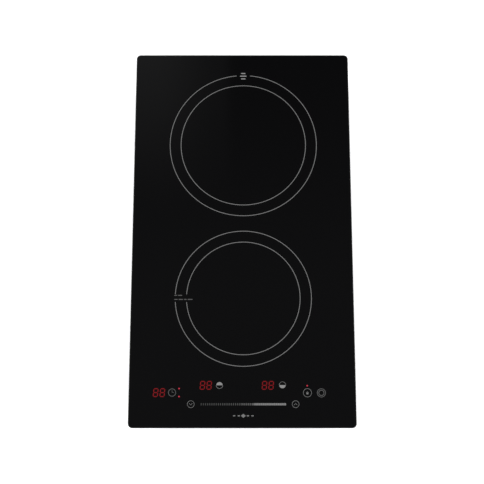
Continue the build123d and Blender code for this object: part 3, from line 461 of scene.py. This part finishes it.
# ---- coils -----------------------------------------------------------------------------------
# Each coil is one spiral of litz wire, a rope of enamelled copper strands, on a moulded former.
# Ferrite bars below turn the field upwards, and a mica disc above keeps the heat off.
def spine(path, radius, sides, lobes=0, twist=0.0, upright=None):
    """A skin round a path: each section is a circle square to it, with side = up x travel.
    Lobes waves of a tenth of the radius turn about the path, once round in each twist of length.
    A path in one upright plane, which may run straight up, gives that plane's normal as upright."""
    travel = np.gradient(path, axis=0)
    travel /= np.linalg.norm(travel, axis=1)[:, None]
    side = np.cross([0.0, 0.0, 1.0], travel) if upright is None else upright * np.ones((len(path), 1))
    side /= np.linalg.norm(side, axis=1)[:, None]
    up = np.cross(travel, side)
    angle = np.linspace(0, 2 * np.pi, sides, endpoint=False)
    steps = np.linalg.norm(np.diff(path, axis=0, prepend=path[:1]), axis=1)
    turned = 2 * np.pi * np.cumsum(steps) / twist if twist else np.zeros(len(path))
    swell = radius * (0.95 + 0.05 * np.cos(lobes * (angle - turned[:, None]))) if lobes else radius
    across = swell * np.cos(angle) * np.ones((len(path), 1))
    upward = swell * np.sin(angle) * np.ones((len(path), 1))
    return path[:, None] + across[..., None] * side[:, None] + upward[..., None] * up[:, None], False


copper = grained("enamelled copper litz", "#7a3d1c", "#b8683a", 0.9 * mm, (0.28, 0.45), 0.5, 0.9, (1, 1, 3))
moulded_white = grained("glass-filled white nylon", "#c9c5b8", "#dad6ca", 1.2 * mm, (0.5, 0.65), 0.12)
pressed_mica = grained("pressed mica sheet", "#a89f8c", "#d2cab8", 3 * mm, (0.35, 0.6), 0.1, cells=True)
sintered_ferrite = grained("sintered ferrite", "#1a1a1c", "#2b2b2e", 0.8 * mm, (0.5, 0.7), 0.2)
spring_wire = grained("bright spring wire", "#85878a", "#a9abae", 1 * mm, (0.25, 0.35), 0.05, 1.0)
steatite = grained("unglazed steatite", "#d8d3c6", "#e8e4da", 0.6 * mm, (0.6, 0.75), 0.15)


def helix(centre, levels, radius, turns):
    angle = np.linspace(0, 2 * np.pi * turns, int(24 * turns) + 1)
    height = np.linspace(levels[0], levels[1], len(angle))
    return np.column_stack([centre[0] + radius * np.cos(angle), centre[1] + radius * np.sin(angle), height])


for zone, centre in (("rear", rear_centre), ("front", front_centre)):
    low, high = (np.array(corner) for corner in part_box(f"{zone}_coil_winding"))
    middle = (low + high) / 2
    outer, wire, hole = (high[0] - low[0]) / 2, 2.0 * mm, 24.2 * mm
    turns = round((outer - hole - wire) / (4.4 * mm))
    angle = np.linspace(0, 2 * np.pi * turns, 64 * turns + 1)
    radius = hole + (outer - wire - hole) * angle / angle[-1]
    level = np.full(len(angle), middle[2])
    x, y = middle[0] + radius * np.cos(angle), middle[1] + radius * np.sin(angle)
    # Six bundles of strands lie round the rope, once round in each 38 mm.
    rope = spine(np.column_stack([x, y, level]), wire, 18, 6, 38 * mm)
    winding = closed_mesh(f"{zone}_litz_spiral", [rope], copper, f"{zone}_coil")
    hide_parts(f"{zone}_coil_winding")
    dress(moulded_white, f"{zone}_coil_former")
    dress(sintered_ferrite, f"{zone}_coil_ferrites")
    dress(pressed_mica, f"{zone}_coil_insulation")
    dress(steatite, f"{zone}_sensor")


# ---- springs ---------------------------------------------------------------------------------
# Four round-wire springs press each coil up to the glass, and one finer spring presses the sensor.
for zone in ("rear", "front"):
    low, high = (np.array(corner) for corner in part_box(f"{zone}_coil_springs"))
    spring_radius, wire = 4.5 * mm, 0.5 * mm
    middle, reach = (low + high) / 2, (high[0] - low[0]) / 2 - spring_radius - wire
    spots = [middle[:2] + reach * np.array(way) for way in ((1, 0), (0, 1), (-1, 0), (0, -1))]
    levels = (low[2] + wire, high[2] - wire)
    coils = [spine(helix(spot, levels, spring_radius, 4), wire, 10) for spot in spots]
    springs = closed_mesh(f"{zone}_float_springs", coils, spring_wire, "casing")
    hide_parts(f"{zone}_coil_springs")
    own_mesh(springs)
    low, high = (np.array(corner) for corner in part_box(f"{zone}_sensor_spring"))
    spot, wire = ((low + high) / 2)[:2], 0.4 * mm
    turns = helix(spot, (low[2] + wire, high[2] - wire), 5.6 * mm, 3.5)
    spring = closed_mesh(f"{zone}_button_spring", [spine(turns, wire, 10)], spring_wire, f"{zone}_coil")
    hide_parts(f"{zone}_sensor_spring")
    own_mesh(spring)
# A plain spring stands under each touch key, and eight stand along the slider.
low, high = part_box("touch_springs")
key_places = [(-92.5, -214.0), (-30.0, -204.4), (53.0, -204.4), (85.7, -214.2), (104.2, -214.2)]
key_places += [(x, -227.0) for x in (-67.7, 70.1, *np.arange(-49.0, 50.0, 14.0))]
wire = 0.35 * mm
levels = (low[2] + wire, high[2] - wire)
coils = [spine(helix(millimetres(*place), levels, 3.2 * mm, 4), wire, 8) for place in key_places]
touch = closed_mesh("touch_key_springs", coils, spring_wire, "casing")
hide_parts("touch_springs")


# ---- coil leads ------------------------------------------------------------------------------
# Two litz leads in woven glass sleeves run from each coil down to its screw posts, and a thinner
# lead from each temperature button to its socket.
def rounded_run(corners):
    """Straight runs, with each corner rounded off over nearly half of its shorter run."""
    path = [corners[0]]
    for before, here, after in zip(corners, corners[1:], corners[2:]):
        back, ahead = before - here, after - here
        reach = 0.45 * min(np.linalg.norm(back), np.linalg.norm(ahead))
        begin = here + reach * back / np.linalg.norm(back)
        finish = here + reach * ahead / np.linalg.norm(ahead)
        share = np.linspace(0, 1, 14)[:, None]
        path += list((1 - share) ** 2 * begin + 2 * share * (1 - share) * here + share**2 * finish)
    return np.array(path + [corners[-1]])


def hanging_lead(top, foot, levels, radius):
    """A lead that drops from its top, slants across and drops again to its foot."""
    corners = [np.array([*spot, level]) * mm for spot, level in zip((top, top, foot, foot), levels)]
    across = np.array([top[1] - foot[1], foot[0] - top[0], 0.0])
    return spine(rounded_run(corners), radius * mm, 16, upright=across / np.linalg.norm(across))


glass_sleeve = grained("woven glass sleeve", "#a39c8a", "#cfc9b8", 0.9 * mm, (0.6, 0.8), 0.5, 0.0, (1, 1, 2))
coil_runs = {
    "rear": [((32.82, 90.68), (14, 84)), ((32.82, 99.68), (14, 98))],
    "front": [((32.82, -60.68), (14, -58)), ((32.82, -51.68), (14, -44))],
}
sensor_runs = {"rear": ((0, 127), (-9, 146)), "front": ((0, -88), (-3, -66))}
for zone in ("rear", "front"):
    skins = [hanging_lead(top, foot, (50.65, 33.0, 23.6, 15.65), 1.9) for top, foot in coil_runs[zone]]
    skins.append(hanging_lead(*sensor_runs[zone], (40.0, 34.0, 24.6, 17.65), 1.1))
    leads = closed_mesh(f"{zone}_sleeved_leads", skins, glass_sleeve)
    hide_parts(f"{zone}_coil_leads")
    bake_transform(leads)
    # The button's lead goes on as a short straight piece.
    above = sensor_runs[zone][0]
    stem = np.array([[*above, level] for level in np.linspace(40.0, 45.5, 12)]) * mm
    skin = spine(stem, 1.1 * mm, 16, upright=np.array([1.0, 0, 0]))
    top = closed_mesh(f"{zone}_button_lead", [skin], glass_sleeve)
    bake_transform(top)


# ---- blower ----------------------------------------------------------------------------------
# A flat radial blower: scroll, cover and wheel moulded in black nylon, on a small motor.
# The wheel's magnet is bonded ferrite, and its shaft runs in a bronze bush.
moulded_black = grained("moulded black nylon", "#141414", "#1f1f20", 0.7 * mm, (0.42, 0.58), 0.15)
dress(moulded_black, "blower_housing", "blower_cover", "blower_impeller", "control_chips", "display_modules")
dress(sintered_ferrite, "blower_magnet")
dress(spring_wire, "blower_shaft")
dress(grained("sintered bronze", "#8a6238", "#a87d4c", 0.5 * mm, (0.4, 0.55), 0.2, 1.0), "blower_bearing")
dress(copper, "blower_stator", "inductors")


# ---- circuit boards --------------------------------------------------------------------------
# Glass-fibre boards under green solder mask, with copper tracks showing as lighter paths.
def solder_mask():
    material = new_material("green solder mask over tracks")
    place = add(material, "ShaderNodeTexCoord")
    # Tracks are about 7 mm apart, in square-cornered runs.
    tracks = add(
        material,
        "ShaderNodeTexVoronoi",
        {"Vector": place.outputs["Object"], "Scale": 1 / (7 * mm)},
        distance="MANHATTAN",
    )
    edges = add(material, "ShaderNodeValToRGB", {"Fac": tracks.outputs["Distance"]})
    edges.color_ramp.elements[0].color = linear("#0f4a26")
    edges.color_ramp.elements[0].position = 0.42
    edges.color_ramp.elements[1].color = linear("#1d6b3a")
    edges.color_ramp.elements[1].position = 0.46
    rise = {"Height": edges.outputs[0], "Strength": 0.3, "Distance": 0.07 * mm}
    height = add(material, "ShaderNodeBump", rise)
    shader = add(
        material,
        "ShaderNodeBsdfPrincipled",
        {"Base Color": edges.outputs[0], "Roughness": 0.3, "Normal": height.outputs[0]},
    )
    return finish_with(material, shader)


dress(solder_mask(), "power_board", "filter_board", "control_board")


# ---- board components ------------------------------------------------------------------------
# Plastic packages, shrink-sleeved cans, film capacitors in yellow boxes and a ceramic fuse.
epoxy_black = grained("moulded black epoxy", "#161617", "#222223", 0.4 * mm, (0.5, 0.65), 0.2)
dress(epoxy_black, "power_transistors")
yellow_box = grained("moulded yellow polyester box", "#b88a22", "#c99c30", 1.5 * mm, (0.35, 0.5), 0.06)
dress(yellow_box, "film_capacitors")
blue_sleeve = grained("dark blue shrink sleeve", "#10162e", "#1a2242", 4 * mm, (0.25, 0.4), 0.05)
dress(blue_sleeve, "electrolytic_capacitors")
dress(moulded_white, "board_connectors", "terminal_block", "control_tray")
dress(steatite, "mains_fuse")
red_epoxy = grained("clear red epoxy", "#6e0808", "#8c1010", 2 * mm, (0.12, 0.2), 0.02)
dress(red_epoxy, "indicator_leds")


# ---- cable gland -----------------------------------------------------------------------------
# A grey nylon gland screwed through the wall of the cable recess, with a rubber seal inside.
grey_nylon = grained("moulded grey nylon", "#4b4e50", "#5c5f61", 0.8 * mm, (0.42, 0.55), 0.15)
dress(grey_nylon, "gland_body", "gland_nuts")


# ---- inside wiring ---------------------------------------------------------------------------
# Mains and blower wires in brown silicone, and a flat grey ribbon cable to the control board.
brown_wire = grained("brown silicone insulation", "#3d2012", "#54301c", 2 * mm, (0.4, 0.55), 0.05)
dress(brown_wire, "mains_wires", "blower_lead")
ribbed_grey = grained("grey ribbon cable", "#7d7f80", "#96989a", 1.27 * mm, (0.4, 0.5), 0.4, 0.0, (1, 60, 60))
dress(ribbed_grey, "ribbon_cable")


# ---- floor and light -------------------------------------------------------------------------
# A plain white floor in a dim studio, lit by four wide soft lights from the corners, so that the
# glass stays black. The ceiling is a little lighter to the rear left, which shows as a soft sheen.
floor_mesh = bpy.data.meshes.new("floor")
reach = 30.0
corners = [(-reach, -reach, 0), (reach, -reach, 0), (reach, reach, 0), (-reach, reach, 0)]
floor_mesh.from_pydata(corners, [], [(0, 1, 2, 3)])
floor_paint = new_material("matt white floor paint")
white = (1, 1, 1, 1)
glow = {"Emission Color": white, "Emission Strength": 0.5}
matt = {"Base Color": linear("#f6f6f6"), "Roughness": 0.9, **glow}
floor_shader = add(floor_paint, "ShaderNodeBsdfPrincipled", matt)
floor_mesh.materials.append(finish_with(floor_paint, floor_shader))
floor = bpy.data.objects.new("floor", floor_mesh)
bpy.context.scene.collection.objects.link(floor)


def graded(value, start, end, low, high):
    """A smooth step: low where value is at start, high where it is at end."""
    limits = {"Value": value, "From Min": start, "From Max": end, "To Min": low, "To Max": high}
    return add(studio, "ShaderNodeMapRange", limits, interpolation_type="SMOOTHSTEP").outputs[0]


def combined(operation, first, second):
    return add(studio, "ShaderNodeMath", {0: first, 1: second}, operation=operation).outputs[0]


studio = bpy.data.worlds.new("studio")
studio.use_nodes = True
studio.node_tree.nodes.clear()
direction = add(studio, "ShaderNodeTexCoord")
axes = add(studio, "ShaderNodeSeparateXYZ", {"Vector": direction.outputs["Generated"]})
sideways, backwards, upwards = (axes.outputs[name] for name in ("X", "Y", "Z"))
ceiling = graded(backwards, 0.12, 0.42, 0.056, 0.016)
sheen_edge = graded(sideways, -0.010, -0.020, 0.0, 1.0)
left_side = combined("MULTIPLY", sheen_edge, graded(sideways, -0.02, -0.10, 0.3, 1.0))
sheen = combined("MULTIPLY", left_side, graded(backwards, 0.22, 0.44, 0.006, 0.19))
overhead = combined("ADD", ceiling, sheen)
is_ceiling = graded(upwards, 0.62, 0.82, 0.0, 1.0)
walls = graded(upwards, 0.62, 0.82, 0.3, 0.0)
light = combined("ADD", walls, combined("MULTIPLY", is_ceiling, overhead))
# Straight behind the object the backdrop is as white as the floor.
seen = add(studio, "ShaderNodeLightPath").outputs["Is Camera Ray"]
backdrop = combined("ADD", light, combined("MULTIPLY", seen, 0.9))
sky = add(studio, "ShaderNodeBackground", {"Color": white, "Strength": backdrop})
add(studio, "ShaderNodeOutputWorld", {"Surface": sky.outputs[0]})
bpy.context.scene.world = studio
tilt, spread, energy = np.radians(40), np.radians(20), 0.95
for corner, turn in enumerate(np.radians((45, 135, 225, 315))):
    name = f"corner_light_{corner}"
    lamp = bpy.data.objects.new(name, bpy.data.lights.new(name, "SUN"))
    lamp.data.energy, lamp.data.angle = energy, spread
    lamp.rotation_euler = (tilt, 0, turn)
    bpy.context.scene.collection.objects.link(lamp)
bpy.context.scene.view_settings.view_transform = "Standard"
